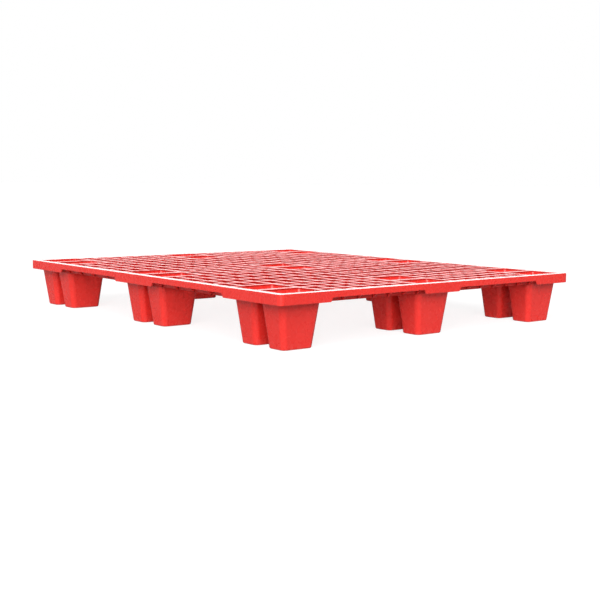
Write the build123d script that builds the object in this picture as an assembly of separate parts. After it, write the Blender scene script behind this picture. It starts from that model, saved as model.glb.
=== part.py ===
from build123d import *
import os

# Nestable open-deck pallet: one moulding, drawn as the features it is made of.
# Millimetres. X runs along the short side, Y along the long side, +Z up.
# The origin is on the floor, under the middle of the deck.

# Overall size
WIDTH = 1000.0              # along X
LENGTH = 1200.0             # along Y
HEIGHT = 130.0              # floor to load face

# Deck section
SKIN = 3.0                  # thickness of the top skin
RIB_DEPTH = 25.0            # load face to the lower edge of the ribs
BAR = 10.0                  # width of a deck bar
RIB = 3.0                   # thickness of the rib under a bar
EDGE_RIB = 2.5              # thickness of the rib along the edge of a panel
HOLE_RADIUS = 3.0           # corner radius of a deck hole

# Perimeter rim: a flat top with an outer skirt
RIM_WIDTH = 17.0            # width of the flat top
RIM_BORDER = 25.0           # outer edge of the deck to the nearest hole
RIM_SKIRT = 3.5             # thickness of the skirt
RIM_SHALLOW = 15.0          # depth of the skirt over the fork entries
RIM_CORNER = 12.0           # radius of the four upright corners
RIM_EDGE = 1.5              # rounding of the upper outer edge
RIM_STEP = 6.0              # length of the slope between deep and shallow skirt

# Legs: three by three, each a pair of hollow cups one behind the other
LEG_PITCH_X = 420.0
LEG_PITCH_Y = 488.0
LEG_ZONE_X = 132.0          # stretch of deck that belongs to a leg
LEG_ZONE_Y = 200.0
CUP_PITCH = 100.0           # between the two cups of a leg, along Y
CUP_FOOT = (87.0, 58.0, 13.0)       # outer X, outer Y and corner radius on the floor
CUP_SHOULDER = (116.0, 80.0, 15.0)  # the same at the lower edge of the ribs
CUP_TOP = (121.0, 88.0, 10.0)       # the same under the top skin
CUP_WALL = 3.0
FOOT_EDGE = 3.0             # rounding of the foot's lower edge

# Deck holes across one leg and across the span between two legs
HOLES_LEG_X = 3
HOLES_SPAN_X = 6
HOLES_LEG_Y = 4
HOLES_SPAN_Y = 4

SIDES = (-1, 0, 1)
COLUMN_NAMES = {-1: "left", 0: "centre", 1: "right"}
ROW_NAMES = {-1: "front", 0: "middle", 1: "rear"}
HALF_NAMES_X = {1: "left", 3: "right"}      # zone number of each span: its name
HALF_NAMES_Y = {1: "front", 3: "rear"}

SKIN_BOTTOM = HEIGHT - SKIN
RIB_BOTTOM = HEIGHT - RIB_DEPTH
INNER_X = WIDTH / 2 - RIM_WIDTH     # half the deck inside the rim
INNER_Y = LENGTH / 2 - RIM_WIDTH
OPEN_X = WIDTH / 2 - RIM_BORDER     # half the deck that may be open
OPEN_Y = LENGTH / 2 - RIM_BORDER


def zones(pitch, leg_zone, inner):
    """The five stretches of deck along one axis, as (low, high): leg, span, leg, span, leg."""
    near = pitch - leg_zone / 2
    edges = [-inner, -near, -leg_zone / 2, leg_zone / 2, near, inner]
    return list(zip(edges[:-1], edges[1:]))


def bar_lines(pitch, leg_zone, leg_holes, span_holes):
    """The centre lines of the deck bars along one axis. The outermost two lie in the rim."""
    lines = []
    for side in SIDES:
        start = side * pitch - leg_zone / 2
        lines += [start + leg_zone * i / leg_holes for i in range(leg_holes)]
        start += leg_zone
        span = pitch - leg_zone
        if side < 1:
            lines += [start + span * i / span_holes for i in range(span_holes)]
    return lines + [pitch + leg_zone / 2]


ZONES_X = zones(LEG_PITCH_X, LEG_ZONE_X, INNER_X)
ZONES_Y = zones(LEG_PITCH_Y, LEG_ZONE_Y, INNER_Y)
LINES_X = bar_lines(LEG_PITCH_X, LEG_ZONE_X, HOLES_LEG_X, HOLES_SPAN_X)
LINES_Y = bar_lines(LEG_PITCH_Y, LEG_ZONE_Y, HOLES_LEG_Y, HOLES_SPAN_Y)


def openings(lines, zone, limit):
    """The open stretches between the bars of one zone, as (low, high)."""
    found = []
    for low, high in zip(lines[:-1], lines[1:]):
        if zone[0] < (low + high) / 2 < zone[1]:
            found.append((max(low + BAR / 2, -limit), min(high - BAR / 2, limit)))
    return found


def plan_of(span_x, span_y, radius=0.0):
    """A rectangle in plan from its two spans, with rounded corners if a radius is given."""
    (x0, x1), (y0, y1) = span_x, span_y
    place = Pos((x0 + x1) / 2, (y0 + y1) / 2)
    if radius:
        return place * RectangleRounded(x1 - x0, y1 - y0, radius)
    return place * Rectangle(x1 - x0, y1 - y0)


def strip(line, thickness):
    """The span of a rib that is centred on a line."""
    return (line - thickness / 2, line + thickness / 2)


def edge_ribs(zone_x, zone_y):
    """Plans of the four ribs along the edges of a panel."""
    (x0, x1), (y0, y1) = zone_x, zone_y
    return [
        plan_of((x0, x0 + EDGE_RIB), zone_y),
        plan_of((x1 - EDGE_RIB, x1), zone_y),
        plan_of(zone_x, (y0, y0 + EDGE_RIB)),
        plan_of(zone_x, (y1 - EDGE_RIB, y1)),
    ]


def bar_ribs(zone_x, zone_y):
    """Plans of the ribs under the bars that cross a panel."""
    inside_x = [x for x in LINES_X if zone_x[0] + BAR < x < zone_x[1] - BAR]
    inside_y = [y for y in LINES_Y if zone_y[0] + BAR < y < zone_y[1] - BAR]
    ribs = [plan_of(strip(x, RIB), zone_y) for x in inside_x]
    return ribs + [plan_of(zone_x, strip(y, RIB)) for y in inside_y]


def raise_ribs(plans):
    """One solid of all the ribs of a panel, under its skin."""
    union = plans[0]
    for plan in plans[1:]:
        union += plan
    return extrude(Pos(0, 0, RIB_BOTTOM) * union, SKIN_BOTTOM - RIB_BOTTOM)


def grid_panel(zone_x, zone_y):
    """An open panel: a skin of crossing bars with a rib under each bar."""
    holes = []
    for span_x in openings(LINES_X, zone_x, OPEN_X):
        for span_y in openings(LINES_Y, zone_y, OPEN_Y):
            holes.append(plan_of(span_x, span_y, HOLE_RADIUS))
    skin = extrude(Pos(0, 0, SKIN_BOTTOM) * (plan_of(zone_x, zone_y) - holes), SKIN)
    return skin + raise_ribs(edge_ribs(zone_x, zone_y) + bar_ribs(zone_x, zone_y))


def section(size, z, inset=0.0):
    """A level section of a cup at height z, set in from its outer size."""
    wide, long, radius = size
    return Pos(0, 0, z) * RectangleRounded(wide - 2 * inset, long - 2 * inset, radius - inset)


def cup_body():
    """The outside of a cup as a closed solid, with its foot at the origin."""
    lower = loft([section(CUP_FOOT, 0), section(CUP_SHOULDER, RIB_BOTTOM)], ruled=True)
    upper = loft([section(CUP_SHOULDER, RIB_BOTTOM), section(CUP_TOP, SKIN_BOTTOM)], ruled=True)
    return lower + upper


def leg_cup():
    """One hollow tapered cup, open at the top, closed by a floor at the foot."""
    part_way = CUP_WALL / RIB_BOTTOM
    floor_x = CUP_FOOT[0] + part_way * (CUP_SHOULDER[0] - CUP_FOOT[0])
    floor_y = CUP_FOOT[1] + part_way * (CUP_SHOULDER[1] - CUP_FOOT[1])
    floor = section((floor_x, floor_y, CUP_FOOT[2]), CUP_WALL, CUP_WALL)
    shoulder = section(CUP_SHOULDER, RIB_BOTTOM, CUP_WALL)
    mouth = section(CUP_TOP, SKIN_BOTTOM, CUP_WALL)
    outside = cup_body()
    outside = fillet(outside.edges().group_by(Axis.Z)[0], FOOT_EDGE)
    return outside - loft([floor, shoulder], ruled=True) - loft([shoulder, mouth], ruled=True)


def leg_collar(zone_x, zone_y, leg_x, leg_y):
    """The deck round the two mouths of a leg, with ribs that tie the cups to its edges."""
    cup_lines = [leg_y - CUP_PITCH / 2, leg_y + CUP_PITCH / 2]
    places = [Pos(leg_x, line) for line in cup_lines]
    mouths = [place * section(CUP_TOP, 0, CUP_WALL) for place in places]
    skin = extrude(Pos(0, 0, SKIN_BOTTOM) * (plan_of(zone_x, zone_y) - mouths), SKIN)
    ties = [plan_of(zone_x, strip(line, RIB)) for line in cup_lines]
    low = cup_lines[0] if zone_y[0] == -INNER_Y else zone_y[0]
    high = cup_lines[1] if zone_y[1] == INNER_Y else zone_y[1]
    ties.append(plan_of(strip(leg_x, RIB), (low, high)))
    ribs = raise_ribs(edge_ribs(zone_x, zone_y) + ties)
    for place in places:
        ribs -= place * cup_body()
    return skin + ribs


def skirt_gap(zone, across, along_x):
    """The space under a shallow stretch of skirt, with a slope at each end."""
    low, high = zone
    top = HEIGHT - RIM_SHALLOW
    bottom = RIB_BOTTOM - 1.0
    reach = RIM_STEP * (top - bottom) / (top - RIB_BOTTOM)
    points = [(low, bottom), (high, bottom), (high - reach, top), (low + reach, top)]
    side = make_face(Polyline(*points, close=True))
    depth = RIM_SKIRT + 1.0
    if along_x:
        return Pos(0, across, 0) * extrude(Plane.XZ * side, depth / 2, both=True)
    return Pos(across, 0, 0) * extrude(Plane.YZ * side, depth / 2, both=True)


def gusset(along, outer, inner, along_x):
    """A small rib under the rim, from the shallow skirt down to the edge of the deck."""
    shallow = HEIGHT - RIM_SHALLOW
    points = [(outer, SKIN_BOTTOM), (outer, shallow), (inner, RIB_BOTTOM), (inner, SKIN_BOTTOM)]
    side = make_face(Polyline(*points, close=True))
    if along_x:
        return Pos(along, 0, 0) * extrude(Plane.YZ * side, RIB / 2, both=True)
    return Pos(0, along, 0) * extrude(Plane.XZ * side, RIB / 2, both=True)


def rim_ring():
    """The whole rim before it is mitred at the corners."""
    outline = RectangleRounded(WIDTH, LENGTH, RIM_CORNER)
    body = extrude(Pos(0, 0, RIB_BOTTOM) * outline, RIB_DEPTH)
    body = fillet(body.edges().group_by(Axis.Z)[-1], RIM_EDGE)
    inner = Rectangle(2 * INNER_X, 2 * INNER_Y)
    body -= extrude(Pos(0, 0, RIB_BOTTOM) * inner, RIB_DEPTH)
    under = RectangleRounded(WIDTH - 2 * RIM_SKIRT, LENGTH - 2 * RIM_SKIRT, RIM_CORNER - RIM_SKIRT)
    body -= extrude(Pos(0, 0, RIB_BOTTOM) * under, SKIN_BOTTOM - RIB_BOTTOM)
    for side in (-1, 1):
        for span in (1, 3):
            body -= skirt_gap(ZONES_X[span], side * (LENGTH - RIM_SKIRT) / 2, True)
            body -= skirt_gap(ZONES_Y[span], side * (WIDTH - RIM_SKIRT) / 2, False)
    return body


def rim_side(ring, along_x, side):
    """One side of the rim, cut off at 45 degrees at both corners, with its gussets."""
    half, edge, lines = WIDTH / 2, LENGTH / 2, LINES_X
    if not along_x:
        half, edge, lines = LENGTH / 2, WIDTH / 2, LINES_Y
    deep = RIM_WIDTH + RIM_CORNER
    outer, inner = side * edge, side * (edge - deep)
    points = [(-half, outer), (half, outer), (half - deep, inner), (deep - half, inner)]
    if not along_x:
        points = [(y, x) for x, y in points]
    wedge = extrude(make_face(Polyline(*points, close=True)), HEIGHT)
    body = ring & wedge
    for line in lines[1:-1]:
        body += gusset(line, side * (edge - RIM_SKIRT), side * (edge - RIM_WIDTH), along_x)
    return body


def write(node, solid):
    export_step(solid, f"parts/{node}.step")


def write_rim():
    ring = rim_ring()
    for side, name in ((-1, "front"), (1, "rear")):
        write(f"rim_{name}", rim_side(ring, True, side))
    for side, name in ((-1, "left"), (1, "right")):
        write(f"rim_{name}", rim_side(ring, False, side))


def write_legs():
    cup = leg_cup()
    for row in SIDES:
        for column in SIDES:
            leg = f"leg_{ROW_NAMES[row]}_{COLUMN_NAMES[column]}"
            leg_x, leg_y = column * LEG_PITCH_X, row * LEG_PITCH_Y
            zone_x, zone_y = ZONES_X[2 * column + 2], ZONES_Y[2 * row + 2]
            write(f"{leg}_collar", leg_collar(zone_x, zone_y, leg_x, leg_y))
            write(f"{leg}_cup_front", Pos(leg_x, leg_y - CUP_PITCH / 2) * cup)
            write(f"{leg}_cup_rear", Pos(leg_x, leg_y + CUP_PITCH / 2) * cup)


def write_grid():
    for row in SIDES:
        for span, half in HALF_NAMES_X.items():
            panel = grid_panel(ZONES_X[span], ZONES_Y[2 * row + 2])
            write(f"grid_row_{ROW_NAMES[row]}_{half}", panel)
    for column in SIDES:
        for span, half in HALF_NAMES_Y.items():
            panel = grid_panel(ZONES_X[2 * column + 2], ZONES_Y[span])
            write(f"grid_column_{COLUMN_NAMES[column]}_{half}", panel)
    for span_y, row in HALF_NAMES_Y.items():
        for span_x, column in HALF_NAMES_X.items():
            write(f"grid_field_{row}_{column}", grid_panel(ZONES_X[span_x], ZONES_Y[span_y]))


os.makedirs("parts", exist_ok=True)
write_rim()
write_legs()
write_grid()
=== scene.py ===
import math

import bmesh
import bpy
from mathutils import Matrix, Vector


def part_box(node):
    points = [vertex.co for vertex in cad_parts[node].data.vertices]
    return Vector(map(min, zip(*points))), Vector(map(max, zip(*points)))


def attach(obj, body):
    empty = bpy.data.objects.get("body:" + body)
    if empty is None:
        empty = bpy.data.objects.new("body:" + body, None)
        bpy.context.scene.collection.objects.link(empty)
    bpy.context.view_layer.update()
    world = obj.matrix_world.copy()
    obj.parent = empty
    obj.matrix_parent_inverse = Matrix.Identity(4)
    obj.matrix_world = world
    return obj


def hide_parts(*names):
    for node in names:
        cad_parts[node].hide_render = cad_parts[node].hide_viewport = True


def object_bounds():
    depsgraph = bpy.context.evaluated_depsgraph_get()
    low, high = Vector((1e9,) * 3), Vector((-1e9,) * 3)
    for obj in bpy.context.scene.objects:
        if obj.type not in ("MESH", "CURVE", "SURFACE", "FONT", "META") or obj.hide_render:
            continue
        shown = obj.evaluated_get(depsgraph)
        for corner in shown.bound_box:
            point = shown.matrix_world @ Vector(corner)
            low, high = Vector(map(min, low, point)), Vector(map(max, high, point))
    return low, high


# Looks of a nestable open-deck plastic pallet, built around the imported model.
# Metres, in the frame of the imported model: X short side, Y long side, Z up from the floor.

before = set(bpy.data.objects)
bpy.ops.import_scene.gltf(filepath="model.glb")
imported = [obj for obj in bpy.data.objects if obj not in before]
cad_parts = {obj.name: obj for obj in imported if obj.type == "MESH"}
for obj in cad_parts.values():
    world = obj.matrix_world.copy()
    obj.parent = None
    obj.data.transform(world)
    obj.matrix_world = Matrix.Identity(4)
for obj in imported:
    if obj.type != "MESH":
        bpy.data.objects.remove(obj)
CAD_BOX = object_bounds()

# ---------------------------------------------------------------- sizes
MM = 0.001
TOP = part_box("leg_middle_centre_collar")[1][2]
RIB_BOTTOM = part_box("leg_middle_centre_collar")[0][2]
SKIN = 3 * MM               # thickness of the deck's skin
SKIN_BOTTOM = TOP - SKIN
HALF_X = CAD_BOX[1][0]
HALF_Y = CAD_BOX[1][1]

BAR = 10 * MM               # width of a deck bar
RIB = 3 * MM                # rib under a bar
EDGE_RIB = 2.5 * MM         # rib along a panel's edge
RIM_WIDTH = 17 * MM         # flat top
RIM_BORDER = 25 * MM        # deck edge to the nearest hole
RIM_SKIRT = 3.5 * MM        # thickness of the skirt
RIM_SHALLOW = 15 * MM       # depth of the skirt over the fork entries
RIM_CORNER = 12 * MM        # radius of the upright corners
RIM_STEP = 6 * MM           # length of the slope between deep and shallow skirt
RIM_LEAD = 0.12             # how far, in leg zones, a shallow stretch runs past the start of a leg
RIM_EDGE = 1.5 * MM         # rounding of the upper outer edge

# Legs: the outside of a cup is (size along X, size along Y, corner radius) at three heights
LEG_PITCH_X, LEG_PITCH_Y = 420 * MM, 488 * MM
LEG_ZONE_X, LEG_ZONE_Y = 132 * MM, 200 * MM
CUP_PITCH = 100 * MM
CUP_FOOT = (87 * MM, 58 * MM, 13 * MM)
CUP_SHOULDER = (116 * MM, 80 * MM, 15 * MM)
CUP_TOP = (121 * MM, 88 * MM, 10 * MM)
CUP_WALL = 3 * MM
FOOT_EDGE = 3 * MM          # outside rounding of a foot
CUP_FILLET = 4 * MM         # inside rounding between a cup's wall and its floor

HOLES_LEG_X, HOLES_SPAN_X = 3, 6        # holes across a leg zone and between two leg zones
HOLES_LEG_Y, HOLES_SPAN_Y = 4, 4
HOLE_RADIUS = 3 * MM
HOLE_EDGE = 0.4 * MM        # rounding of the upper edge of a hole
HOLE_MIDDLE = 0.3 * HOLE_EDGE   # how far out and down the middle of that rounding is
LIP = 2.0 * MM              # thickness of a bar at its edge, from where it slopes down to the rib
LIP_ROUND = 0.3 * MM        # rounding at the lower end of that edge
RIB_FLARE = 0.8 * MM        # a rib's thickening where it meets the skin
RIB_NOSE = 0.6 * MM         # a rib's thinning at its lower edge
RIB_TIP = 0.4 * MM          # corner radius between the lower edges of two ribs
SKIRT_EDGE = 0.5 * MM       # chamfer along the skirt's lower edges
OVERLAP = 0.2 * MM          # how far a gusset reaches into the walls it joins
HOLE_STEPS = 3              # facets in a hole's corner
CUP_STEPS = 8               # facets in a cup's corner
RIM_STEPS = 5               # facets in half of an upright corner of the rim
EDGE_STEPS = 4              # facets in the rim's upper edge and a foot's edge
FILLET_STEPS = 3            # facets in a cup's inside fillet
SHARP_ANGLE = 38            # degrees between two faces with a sharp edge between them
MERGE = 1e-6                # points closer than this are one

# Plastic: (dark, light, flow line, scuff) linear colours, least and most roughness, grain
# The deck's colours are darkened as painted shade; deck and walls are one red plastic.
GRAINED_PAINTED_SHADE = (
    ((0.67, 0.021, 0.016, 1), (0.72, 0.025, 0.019, 1), (0.75, 0.031, 0.024, 1), (0.64, 0.12, 0.10, 1)),
    0.34,
    0.44,
    0.12,
)
# The walls' colours are lightened as painted light, with more green and blue as a painted sheen.
SATIN_PAINTED_LIGHT = (
    ((0.79, 0.031, 0.024, 1), (0.84, 0.036, 0.028, 1), (0.86, 0.043, 0.033, 1), (0.72, 0.13, 0.11, 1)),
    0.22,
    0.32,
    0.05,
)

# Noise patterns in the plastic: (blotches to the metre, detail, stretch along X, Y and Z)
UNEVEN = (25, 1, (1, 1, 1))
GRAIN = (1400, 2, (1, 1, 1))
# Patches: (noise pattern, noise where a patch starts, noise where it is full)
MOTTLE = ((9, 3, (1, 1, 1)), 0.3, 0.7)
GLOSS = ((60, 4, (1, 1, 1)), 0.3, 0.7)
FLOW_LINES = ((14, 1.5, (1, 1, 0.15)), 0.45, 0.80)
SCUFFS = ((90, 6, (1, 1, 0.4)), 0.52, 0.66)
FLOW_AMOUNT = 0.25
SCUFF_AMOUNT = 0.3
SCUFF_LOW, SCUFF_HIGH = 2 * MM, 16 * MM     # scuffs fade out between these heights
UNEVEN_STRENGTH, UNEVEN_DEPTH = 0.06, 1.5 * MM
GRAIN_DEPTH = 0.4 * MM

# Light: a dim world with bright lobes, each (direction, cosine where it starts, cosine where it is full,
# gain): low behind the pallet, high in front of it, and a weak one at its left
SKY_AMBIENT = 0.09
SKY_LOBES = (
    ((0.63, 0.77, 0.06), 0.86, 0.97, 3.2),
    ((-0.62, -0.68, 0.58), 0.76, 0.98, 5.9),
    ((-0.72, 0.64, 0.20), 0.80, 0.97, 0.6),
)
# Floors, just under the feet: (name, height, albedo, glow, seen by the camera). The unseen one only
# bounces light onto the pallet.
FLOORS = (
    ("floor", -0.5 * MM, 0.25, 0.84, True),
    ("floor_bounce", -1.0 * MM, 0.34, 0.05, False),
)
FLOOR_HALF = 60.0           # from the middle of a floor to its edge
LAMP_POWER = 5.0
LAMP_SIZE = 2.4
LAMP_PLACE = (0.6, 0.8, 3.2)

# Camera: low over the near left corner; turn is (from +Y towards +X, down, roll) in degrees
CAMERA_PLACE = (-1.9335, -2.4108, 0.3753)
CAMERA_TURN = (39.427, 6.321, 0.538)
CAMERA_LENS = 65.05

SIDES = (-1, 0, 1)
COLUMN_NAMES = {-1: "left", 0: "centre", 1: "right"}
ROW_NAMES = {-1: "front", 0: "middle", 1: "rear"}


# ---------------------------------------------------------------- mesh helpers
def rounded_ring(bm, rect, radius, z, steps):
    """Points round a rounded rectangle, corner by corner, as new vertices."""
    x0, y0, x1, y1 = rect
    corners = ((x1, y0, -90), (x1, y1, 0), (x0, y1, 90), (x0, y0, 180))
    ring = []
    for cx, cy, start in corners:
        ox = cx - math.copysign(radius, cx - (x0 + x1) / 2)
        oy = cy - math.copysign(radius, cy - (y0 + y1) / 2)
        for i in range(steps + 1):
            a = math.radians(start + 90 * i / steps)
            ring.append(bm.verts.new((ox + radius * math.cos(a), oy + radius * math.sin(a), z)))
    return ring


def square_ring(bm, rect, z):
    """The four corners of a rectangle, in the order of a rounded ring's corners."""
    x0, y0, x1, y1 = rect
    return [bm.verts.new((x, y, z)) for x, y in ((x1, y0), (x1, y1), (x0, y1), (x0, y0))]


def face(bm, verts, flip=False):
    """A face, turned over if flip is set."""
    if flip:
        verts = verts[::-1]
    return bm.faces.new(verts)


def bridge(bm, a, b):
    """Quads between two rings of the same length."""
    n = len(a)
    for i in range(n):
        j = (i + 1) % n
        face(bm, (a[i], a[j], b[j], b[i]))


def fan(bm, square, ring, steps, flip=False):
    """Faces between a four-cornered ring and a rounded one."""
    for corner in range(4):
        first = corner * (steps + 1)
        for i in range(steps):
            face(bm, (square[corner], ring[first + i + 1], ring[first + i]), flip)
        nxt = (corner + 1) % 4
        last, start = ring[first + steps], ring[nxt * (steps + 1)]
        face(bm, (square[corner], square[nxt], start, last), flip)


def grow(rect, by):
    """A rectangle made larger by the same distance on every side."""
    x0, y0, x1, y1 = rect
    return (x0 - by, y0 - by, x1 + by, y1 + by)


def box_part(bm, low, high):
    """A closed box."""
    made = bmesh.ops.create_cube(bm, size=1.0)["verts"]
    size = [b - a for a, b in zip(low, high)]
    centre = [(a + b) / 2 for a, b in zip(low, high)]
    for v in made:
        v.co = Vector([c + s * k for c, s, k in zip(centre, size, v.co)])


def finish_piece(bm, name, nodes, material):
    """Turns the mesh into a piece that stands for CAD nodes."""
    bmesh.ops.remove_doubles(bm, verts=bm.verts, dist=MERGE)
    bmesh.ops.recalc_face_normals(bm, faces=bm.faces)
    mesh = bpy.data.meshes.new(name)
    bm.to_mesh(mesh)
    bm.free()
    mesh.shade_smooth()
    mesh.set_sharp_from_angle(angle=math.radians(SHARP_ANGLE))
    piece = bpy.data.objects.new(name, mesh)
    bpy.context.scene.collection.objects.link(piece)
    mesh.materials.append(material)
    normals = piece.modifiers.new("weighted", "WEIGHTED_NORMAL")
    normals.keep_sharp = True
    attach(piece, "root")
    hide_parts(*nodes)
    return piece


# ---------------------------------------------------------------- deck
def bar_lines(pitch, leg_zone, leg_holes, span_holes):
    """The centre lines of the deck bars along one axis. The outermost two lie in the rim."""
    lines = []
    for side in SIDES:
        start = side * pitch - leg_zone / 2
        lines += [start + leg_zone * i / leg_holes for i in range(leg_holes)]
        start += leg_zone
        span = pitch - leg_zone
        if side < 1:
            lines += [start + span * i / span_holes for i in range(span_holes)]
    return lines + [pitch + leg_zone / 2]


LINES_X = bar_lines(LEG_PITCH_X, LEG_ZONE_X, HOLES_LEG_X, HOLES_SPAN_X)
LINES_Y = bar_lines(LEG_PITCH_Y, LEG_ZONE_Y, HOLES_LEG_Y, HOLES_SPAN_Y)


def deck_cell(bm, outer, hole, ribs, radius, steps):
    """One opening of the deck with the skin round it and the ribs under its bars.

    outer is the cell's outline, hole the opening and ribs the faces of the ribs, all (x0, y0, x1, y1).
    """
    def ring(rect, r, z):
        return rounded_ring(bm, rect, r, z, steps)

    rings = [
        ring(grow(hole, HOLE_EDGE), radius + HOLE_EDGE, TOP),
        ring(grow(hole, HOLE_MIDDLE), radius + HOLE_MIDDLE, TOP - HOLE_MIDDLE),
        ring(hole, radius, TOP - HOLE_EDGE),
        ring(hole, radius, TOP - LIP + LIP_ROUND),
        ring(grow(hole, LIP_ROUND), radius + LIP_ROUND, TOP - LIP),
        ring(grow(ribs, -RIB_FLARE), radius, SKIN_BOTTOM + LIP_ROUND),
        ring(ribs, radius, SKIN_BOTTOM - RIB_FLARE),
        ring(grow(ribs, RIB_NOSE / 2), RIB_TIP * 1.5, RIB_BOTTOM + RIB_NOSE / 2),
        ring(grow(ribs, RIB_NOSE), RIB_TIP, RIB_BOTTOM),
    ]
    fan(bm, square_ring(bm, outer, TOP), rings[0], steps)
    for a, b in zip(rings[:-1], rings[1:]):
        bridge(bm, a, b)
    fan(bm, square_ring(bm, outer, RIB_BOTTOM), rings[-1], steps, flip=True)


def cell_spans(lines, low, high, border):
    """For each cell of a panel along one axis: its outline, opening and rib faces, as (low, high)."""
    spans = []
    for a, b in zip(lines[:-1], lines[1:]):
        if not low < (a + b) / 2 < high:
            continue
        outline = (max(a, low), min(b, high))
        opening = (max(a + BAR / 2, -border), min(b - BAR / 2, border))
        rib_low = EDGE_RIB if abs(outline[0] - low) < MM else RIB / 2
        rib_high = EDGE_RIB if abs(outline[1] - high) < MM else RIB / 2
        spans.append((outline, opening, (outline[0] + rib_low, outline[1] - rib_high)))
    return spans


def grid_panel(node, material):
    """An open panel of the deck."""
    (x0, y0, _), (x1, y1, _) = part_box(node)
    bm = bmesh.new()
    for out_x, hole_x, rib_x in cell_spans(LINES_X, x0, x1, HALF_X - RIM_BORDER):
        for out_y, hole_y, rib_y in cell_spans(LINES_Y, y0, y1, HALF_Y - RIM_BORDER):
            outer = (out_x[0], out_y[0], out_x[1], out_y[1])
            hole = (hole_x[0], hole_y[0], hole_x[1], hole_y[1])
            ribs = (rib_x[0], rib_y[0], rib_x[1], rib_y[1])
            deck_cell(bm, outer, hole, ribs, HOLE_RADIUS, HOLE_STEPS)
    return finish_piece(bm, f"{node}_moulding", [node], material)


def cup_size(z):
    """The outside of a cup at a height: size along X, size along Y and corner radius."""
    if z <= RIB_BOTTOM:
        t = z / RIB_BOTTOM
        return [a + (b - a) * t for a, b in zip(CUP_FOOT, CUP_SHOULDER)]
    t = (z - RIB_BOTTOM) / (SKIN_BOTTOM - RIB_BOTTOM)
    return [a + (b - a) * t for a, b in zip(CUP_SHOULDER, CUP_TOP)]


def collar_tie(bm, leg_x, cup_y, edge_x):
    """A rib from the middle of a cup's end to the rib along the collar's edge, where there is room."""
    end = math.copysign(1, edge_x - leg_x)
    wall = leg_x + end * (cup_size(SKIN_BOTTOM)[0] / 2 - CUP_WALL / 2)
    edge = edge_x - end * EDGE_RIB / 2
    if abs(edge - wall) > RIB:
        low_x, high_x = sorted((wall, edge))
        low = (low_x, cup_y - RIB / 2, RIB_BOTTOM)
        box_part(bm, low, (high_x, cup_y + RIB / 2, SKIN_BOTTOM + MM))


def leg_collar(node, leg_x, leg_y, material):
    """The deck round the two mouths of a leg."""
    (x0, y0, _), (x1, y1, _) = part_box(node)
    wide, long = [size - 2 * CUP_WALL for size in CUP_TOP[:2]]
    radius = CUP_TOP[2] - CUP_WALL
    bm = bmesh.new()
    for half, low, high in ((-1, y0, leg_y), (1, leg_y, y1)):
        cup_y = leg_y + half * CUP_PITCH / 2
        mouth = (leg_x - wide / 2, cup_y - long / 2, leg_x + wide / 2, cup_y + long / 2)
        rib_low, rib_high = (EDGE_RIB, RIB / 2) if half < 0 else (RIB / 2, EDGE_RIB)
        ribs = (x0 + EDGE_RIB, low + rib_low, x1 - EDGE_RIB, high - rib_high)
        deck_cell(bm, (x0, low, x1, high), mouth, ribs, radius, CUP_STEPS)
        for edge_x in (x0, x1):
            collar_tie(bm, leg_x, cup_y, edge_x)
    return finish_piece(bm, f"{node}_moulding", [node], material)


# ---------------------------------------------------------------- legs
def cup_ring(bm, x, y, z, inset):
    """A level ring of a cup, inset from the outside."""
    wide, long, radius = cup_size(z)
    rect = (x - wide / 2, y - long / 2, x + wide / 2, y + long / 2)
    return rounded_ring(bm, grow(rect, -inset), radius - inset, z, CUP_STEPS)


def cup_face(bm, x, y, inset, fillet, steps):
    """Rings down the inside or the outside of a cup, with the fillet at its floor."""
    rings = [cup_ring(bm, x, y, z, inset) for z in (SKIN_BOTTOM, RIB_BOTTOM, inset + fillet)]
    for i in range(1, steps + 1):
        a = math.radians(90 * i / steps)
        z = inset + fillet * (1 - math.sin(a))
        rings.append(cup_ring(bm, x, y, z, inset + fillet * (1 - math.cos(a))))
    return rings


def leg_cup(node, material):
    """One hollow tapered cup."""
    low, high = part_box(node)
    x, y = (low[0] + high[0]) / 2, (low[1] + high[1]) / 2
    bm = bmesh.new()
    outside = cup_face(bm, x, y, 0, FOOT_EDGE, EDGE_STEPS)
    inside = cup_face(bm, x, y, CUP_WALL, CUP_FILLET, FILLET_STEPS)
    for rings in (outside, inside):
        for a, b in zip(rings[:-1], rings[1:]):
            bridge(bm, a, b)
        bm.faces.new(rings[-1])
    bridge(bm, outside[0], inside[0])
    return finish_piece(bm, f"{node}_moulding", [node], material)


# ---------------------------------------------------------------- rim
def shallow_spans(pitch, zone, side):
    """The stretches of shallow skirt between the legs, the same again when the pallet is turned round."""
    spans = []
    for half in (-1, 1):
        low, high = sorted((half * zone / 2, half * (pitch - zone / 2)))
        spans.append((low, high + RIM_LEAD * zone) if side < 0 else (low - RIM_LEAD * zone, high))
    return spans


def skirt_bottom(s, spans):
    """The height of the skirt's lower edge at a place s along a side."""
    for low, high in spans:
        if low < s < high:
            slope = min(1.0, min(s - low, high - s) / RIM_STEP)
            return RIB_BOTTOM + (TOP - RIM_SHALLOW - RIB_BOTTOM) * slope
    return RIB_BOTTOM


def gusset(bm, place, line):
    """A small rib under the rim, from the shallow skirt down to the edge of the deck."""
    outline = (
        (RIM_SKIRT - OVERLAP, SKIN_BOTTOM + MM),
        (RIM_SKIRT - OVERLAP, TOP - RIM_SHALLOW),
        (RIM_WIDTH + OVERLAP, RIB_BOTTOM),
        (RIM_WIDTH + OVERLAP, SKIN_BOTTOM + MM),
    )
    near = [place(line - RIB / 2, t, z) for t, z in outline]
    far = [place(line + RIB / 2, t, z) for t, z in outline]
    bm.faces.new(near)
    bm.faces.new(far[::-1])
    bridge(bm, near, far)


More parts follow.
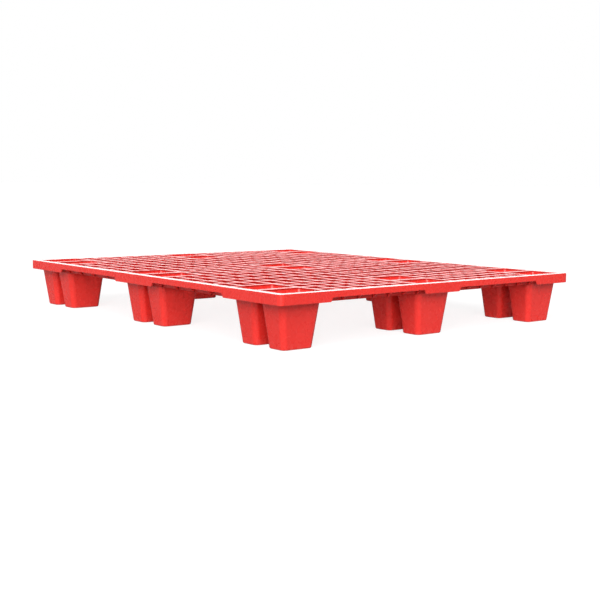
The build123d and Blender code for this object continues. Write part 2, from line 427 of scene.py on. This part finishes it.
def rim_outline(z_low):
    """The rim's cross-section between its two inner corners, as (distance in from the outer face, z)."""
    outline = []
    for i in range(EDGE_STEPS + 1):
        a = math.radians(90 * i / EDGE_STEPS)
        outline.append((RIM_EDGE * (1 - math.sin(a)), TOP - RIM_EDGE * (1 - math.cos(a))))
    outline += [
        (0, z_low + SKIRT_EDGE),
        (SKIRT_EDGE, z_low),
        (RIM_SKIRT - SKIRT_EDGE, z_low),
        (RIM_SKIRT, z_low + SKIRT_EDGE),
        (RIM_SKIRT, SKIN_BOTTOM),
    ]
    return outline


def rim_side(node, along_x, side, material):
    """One side of the rim with half of each upright corner, its skirt and gussets."""
    half, edge, pitch, zone, lines = HALF_X, HALF_Y, LEG_PITCH_X, LEG_ZONE_X, LINES_X
    if not along_x:
        half, edge, pitch, zone, lines = HALF_Y, HALF_X, LEG_PITCH_Y, LEG_ZONE_Y, LINES_Y
    spans = shallow_spans(pitch, zone, side)
    bm = bmesh.new()

    def place(s, t, z):
        """A point s along the side and t in from the outer face."""
        across = side * (edge - t)
        return bm.verts.new((s, across, z) if along_x else (across, s, z))

    def straight(s, z_low):
        """The cross-section at s."""
        middle = [place(s, t, z) for t, z in rim_outline(z_low)]
        return [place(s, RIM_WIDTH, TOP)] + middle + [place(s, RIM_WIDTH, SKIN_BOTTOM)]

    def corner(end, angle):
        """The cross-section that many degrees round the corner at one end."""
        a = math.radians(angle)
        inner = end * (half - RIM_WIDTH)
        middle = []
        for t, z in rim_outline(RIB_BOTTOM):
            r = RIM_CORNER - t
            s = end * (half - RIM_CORNER + r * math.sin(a))
            middle.append(place(s, RIM_CORNER - r * math.cos(a), z))
        return [place(inner, RIM_WIDTH, TOP)] + middle + [place(inner, RIM_WIDTH, SKIN_BOTTOM)]

    marks = [-(half - RIM_WIDTH), half - RIM_WIDTH]
    for low, high in spans:
        marks += [low, low + RIM_STEP, high - RIM_STEP, high]
    angles = [45 * (1 - i / RIM_STEPS) for i in range(RIM_STEPS + 1)]
    rows = [corner(-1, angle) for angle in angles]
    rows += [straight(mark, skirt_bottom(mark, spans)) for mark in sorted(marks)]
    rows += [corner(1, angle) for angle in angles[::-1]]
    for a, b in zip(rows[:-1], rows[1:]):
        bridge(bm, a, b)
    bm.faces.new(rows[0])
    bm.faces.new(rows[-1][::-1])
    for line in lines[1:-1]:
        gusset(bm, place, line)
    bmesh.ops.dissolve_degenerate(bm, edges=bm.edges, dist=MERGE)
    return finish_piece(bm, f"{node}_moulding", [node], material)


# ---------------------------------------------------------------- material
def red_plastic(name, colours, smooth, rough, grain):
    """Moulded red polyethylene: mottled, with flow lines, a fine grain and light scuffs low on the feet."""
    dark, light, flow_line, scuff = colours
    material = bpy.data.materials.new(name)
    material.use_nodes = True
    nodes, links = material.node_tree.nodes, material.node_tree.links
    shader = nodes["Principled BSDF"]
    shader.inputs["IOR"].default_value = 1.5
    place = nodes.new("ShaderNodeTexCoord").outputs["Object"]

    def noise(scale, detail, stretch):
        """A noise pattern. A stretch below 1 draws its blotches out along the axis."""
        space = nodes.new("ShaderNodeMapping")
        space.inputs["Scale"].default_value = stretch
        links.new(place, space.inputs["Vector"])
        n = nodes.new("ShaderNodeTexNoise")
        n.inputs["Scale"].default_value = scale
        n.inputs["Detail"].default_value = detail
        links.new(space.outputs["Vector"], n.inputs["Vector"])
        return n.outputs["Fac"]

    def spread(value, start, full, low, high):
        """Maps start..full to low..high, clamped."""
        n = nodes.new("ShaderNodeMapRange")
        n.inputs["From Min"].default_value = start
        n.inputs["From Max"].default_value = full
        n.inputs["To Min"].default_value = low
        n.inputs["To Max"].default_value = high
        links.new(value, n.inputs["Value"])
        return n.outputs["Result"]

    def patches(kind, low, high):
        """Patches that go from low, outside them, to high."""
        pattern, start, full = kind
        return spread(noise(*pattern), start, full, low, high)

    def blend(factor, first, second):
        """Mix two colours, or a linked colour with a fixed one."""
        n = nodes.new("ShaderNodeMixRGB")
        links.new(factor, n.inputs["Fac"])
        for socket, colour in ((n.inputs["Color1"], first), (n.inputs["Color2"], second)):
            if isinstance(colour, tuple):
                socket.default_value = colour
            else:
                links.new(colour, socket)
        return n.outputs["Color"]

    def combine(operation, first, second):
        """The sum or product of two values."""
        n = nodes.new("ShaderNodeMath")
        n.operation = operation
        links.new(first, n.inputs[0])
        links.new(second, n.inputs[1])
        return n.outputs["Value"]

    def relief(pattern, strength, depth):
        """A bump node that raises and lowers the surface by a noise pattern."""
        n = nodes.new("ShaderNodeBump")
        n.inputs["Strength"].default_value = strength
        n.inputs["Distance"].default_value = depth
        links.new(noise(*pattern), n.inputs["Height"])
        return n

    mottle = blend(patches(MOTTLE, 0, 1), dark, light)
    flow = blend(patches(FLOW_LINES, 0, FLOW_AMOUNT), mottle, flow_line)
    height = nodes.new("ShaderNodeSeparateXYZ")
    links.new(place, height.inputs["Vector"])
    low = spread(height.outputs["Z"], SCUFF_LOW, SCUFF_HIGH, 1, 0)
    scuffs = combine("MULTIPLY", low, patches(SCUFFS, 0, SCUFF_AMOUNT))
    links.new(blend(scuffs, flow, scuff), shader.inputs["Base Color"])
    links.new(combine("ADD", patches(GLOSS, smooth, rough), scuffs), shader.inputs["Roughness"])

    uneven = relief(UNEVEN, UNEVEN_STRENGTH, UNEVEN_DEPTH)
    fine = relief(GRAIN, grain, GRAIN_DEPTH)
    links.new(uneven.outputs["Normal"], fine.inputs["Normal"])
    links.new(fine.outputs["Normal"], shader.inputs["Normal"])
    return material


# ---------------------------------------------------------------- stage
def studio_world():
    """White to the camera. It lights the pallet with a dim ambient and the bright lobes."""
    world = bpy.data.worlds.new("studio")
    bpy.context.scene.world = world
    world.use_nodes = True
    nodes, links = world.node_tree.nodes, world.node_tree.links
    nodes.clear()
    toward = nodes.new("ShaderNodeTexCoord").outputs["Generated"]
    total = None            # the first lobe is added to the ambient, and each next one to the total
    for direction, start, full, gain in SKY_LOBES:
        dot = nodes.new("ShaderNodeVectorMath")
        dot.operation = "DOT_PRODUCT"
        dot.inputs[1].default_value = Vector(direction).normalized()
        links.new(toward, dot.inputs[0])
        lobe = nodes.new("ShaderNodeMapRange")
        lobe.interpolation_type = "SMOOTHSTEP"
        lobe.inputs["From Min"].default_value = start
        lobe.inputs["From Max"].default_value = full
        lobe.inputs["To Min"].default_value = 0.0
        lobe.inputs["To Max"].default_value = gain
        links.new(dot.outputs["Value"], lobe.inputs["Value"])
        add = nodes.new("ShaderNodeMath")
        add.operation = "ADD"
        add.inputs[1].default_value = SKY_AMBIENT
        links.new(lobe.outputs["Result"], add.inputs[0])
        if total:
            links.new(total, add.inputs[1])
        total = add.outputs["Value"]
    lit = nodes.new("ShaderNodeBackground")
    links.new(total, lit.inputs["Strength"])
    seen = nodes.new("ShaderNodeBackground")
    mix = nodes.new("ShaderNodeMixShader")
    links.new(nodes.new("ShaderNodeLightPath").outputs["Is Camera Ray"], mix.inputs["Fac"])
    links.new(lit.outputs["Background"], mix.inputs[1])
    links.new(seen.outputs["Background"], mix.inputs[2])
    for background in (lit, seen):
        background.inputs["Color"].default_value = (1, 1, 1, 1)
    out = nodes.new("ShaderNodeOutputWorld")
    links.new(mix.outputs["Shader"], out.inputs["Surface"])


def make_floor(name, height, albedo, glow, seen):
    """A wide white floor that is either seen or only bounces light."""
    material = bpy.data.materials.new(f"{name}_white")
    material.use_nodes = True
    shader = material.node_tree.nodes["Principled BSDF"]
    shader.inputs["Base Color"].default_value = (albedo, albedo, albedo, 1)
    shader.inputs["Roughness"].default_value = 0.9
    shader.inputs["Specular IOR Level"].default_value = 0.0
    shader.inputs["Emission Color"].default_value = (1, 1, 1, 1)
    shader.inputs["Emission Strength"].default_value = glow
    mesh = bpy.data.meshes.new(name)
    far = FLOOR_HALF
    corners = [(-far, -far, 0), (far, -far, 0), (far, far, 0), (-far, far, 0)]
    mesh.from_pydata(corners, [], [(0, 1, 2, 3)])
    mesh.materials.append(material)
    floor = bpy.data.objects.new(name, mesh)
    floor.location.z = height
    floor.visible_camera = seen
    floor.visible_diffuse = not seen
    floor.visible_glossy = not seen
    floor.visible_shadow = not seen
    bpy.context.scene.collection.objects.link(floor)


def make_stage():
    """The floors and a soft lamp overhead."""
    for floor in FLOORS:
        make_floor(*floor)

    light = bpy.data.lights.new("overhead", "AREA")
    light.size = LAMP_SIZE
    light.energy = LAMP_POWER
    lamp = bpy.data.objects.new("overhead", light)
    lamp.location = LAMP_PLACE
    lamp.rotation_euler = (-lamp.location).to_track_quat("-Z", "Y").to_euler()
    lamp.visible_camera = False
    bpy.context.scene.collection.objects.link(lamp)


def make_camera():
    """A long lens, turned and placed as named above."""
    data = bpy.data.cameras.new("camera")
    data.sensor_width = 36.0
    data.lens = CAMERA_LENS
    data.clip_end = 200.0
    yaw, pitch, roll = (math.radians(a) for a in CAMERA_TURN)
    ahead = Vector((math.sin(yaw) * math.cos(pitch), math.cos(yaw) * math.cos(pitch), -math.sin(pitch)))
    right = Vector((math.cos(yaw), -math.sin(yaw), 0))
    up = right.cross(ahead)
    right_rolled = math.cos(roll) * right + math.sin(roll) * up
    up_rolled = math.cos(roll) * up - math.sin(roll) * right
    turn = Matrix((right_rolled, up_rolled, -ahead)).transposed()
    camera = bpy.data.objects.new("camera", data)
    camera.matrix_world = Matrix.Translation(CAMERA_PLACE) @ turn.to_4x4()
    bpy.context.scene.collection.objects.link(camera)
    bpy.context.scene.camera = camera


# ---------------------------------------------------------------- build
# The deck's red is darkened as painted shade.
DECK_RED_PAINTED_SHADE = red_plastic("red_plastic_grained_painted_shade", *GRAINED_PAINTED_SHADE)
# The red of the cups and rim is lightened as painted light, with more green and blue as a painted sheen.
WALL_RED_PAINTED_LIGHT = red_plastic("red_plastic_satin_painted_light", *SATIN_PAINTED_LIGHT)

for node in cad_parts:
    if node.startswith("grid_"):
        grid_panel(node, DECK_RED_PAINTED_SHADE)
    elif "_cup_" in node:
        leg_cup(node, WALL_RED_PAINTED_LIGHT)

for row in SIDES:
    for column in SIDES:
        name = f"leg_{ROW_NAMES[row]}_{COLUMN_NAMES[column]}_collar"
        leg_collar(name, column * LEG_PITCH_X, row * LEG_PITCH_Y, DECK_RED_PAINTED_SHADE)

for side, name in ((-1, "front"), (1, "rear")):
    rim_side(f"rim_{name}", True, side, WALL_RED_PAINTED_LIGHT)
for side, name in ((-1, "left"), (1, "right")):
    rim_side(f"rim_{name}", False, side, WALL_RED_PAINTED_LIGHT)

studio_world()
make_stage()
make_camera()
bpy.context.scene.view_settings.view_transform = "Standard"
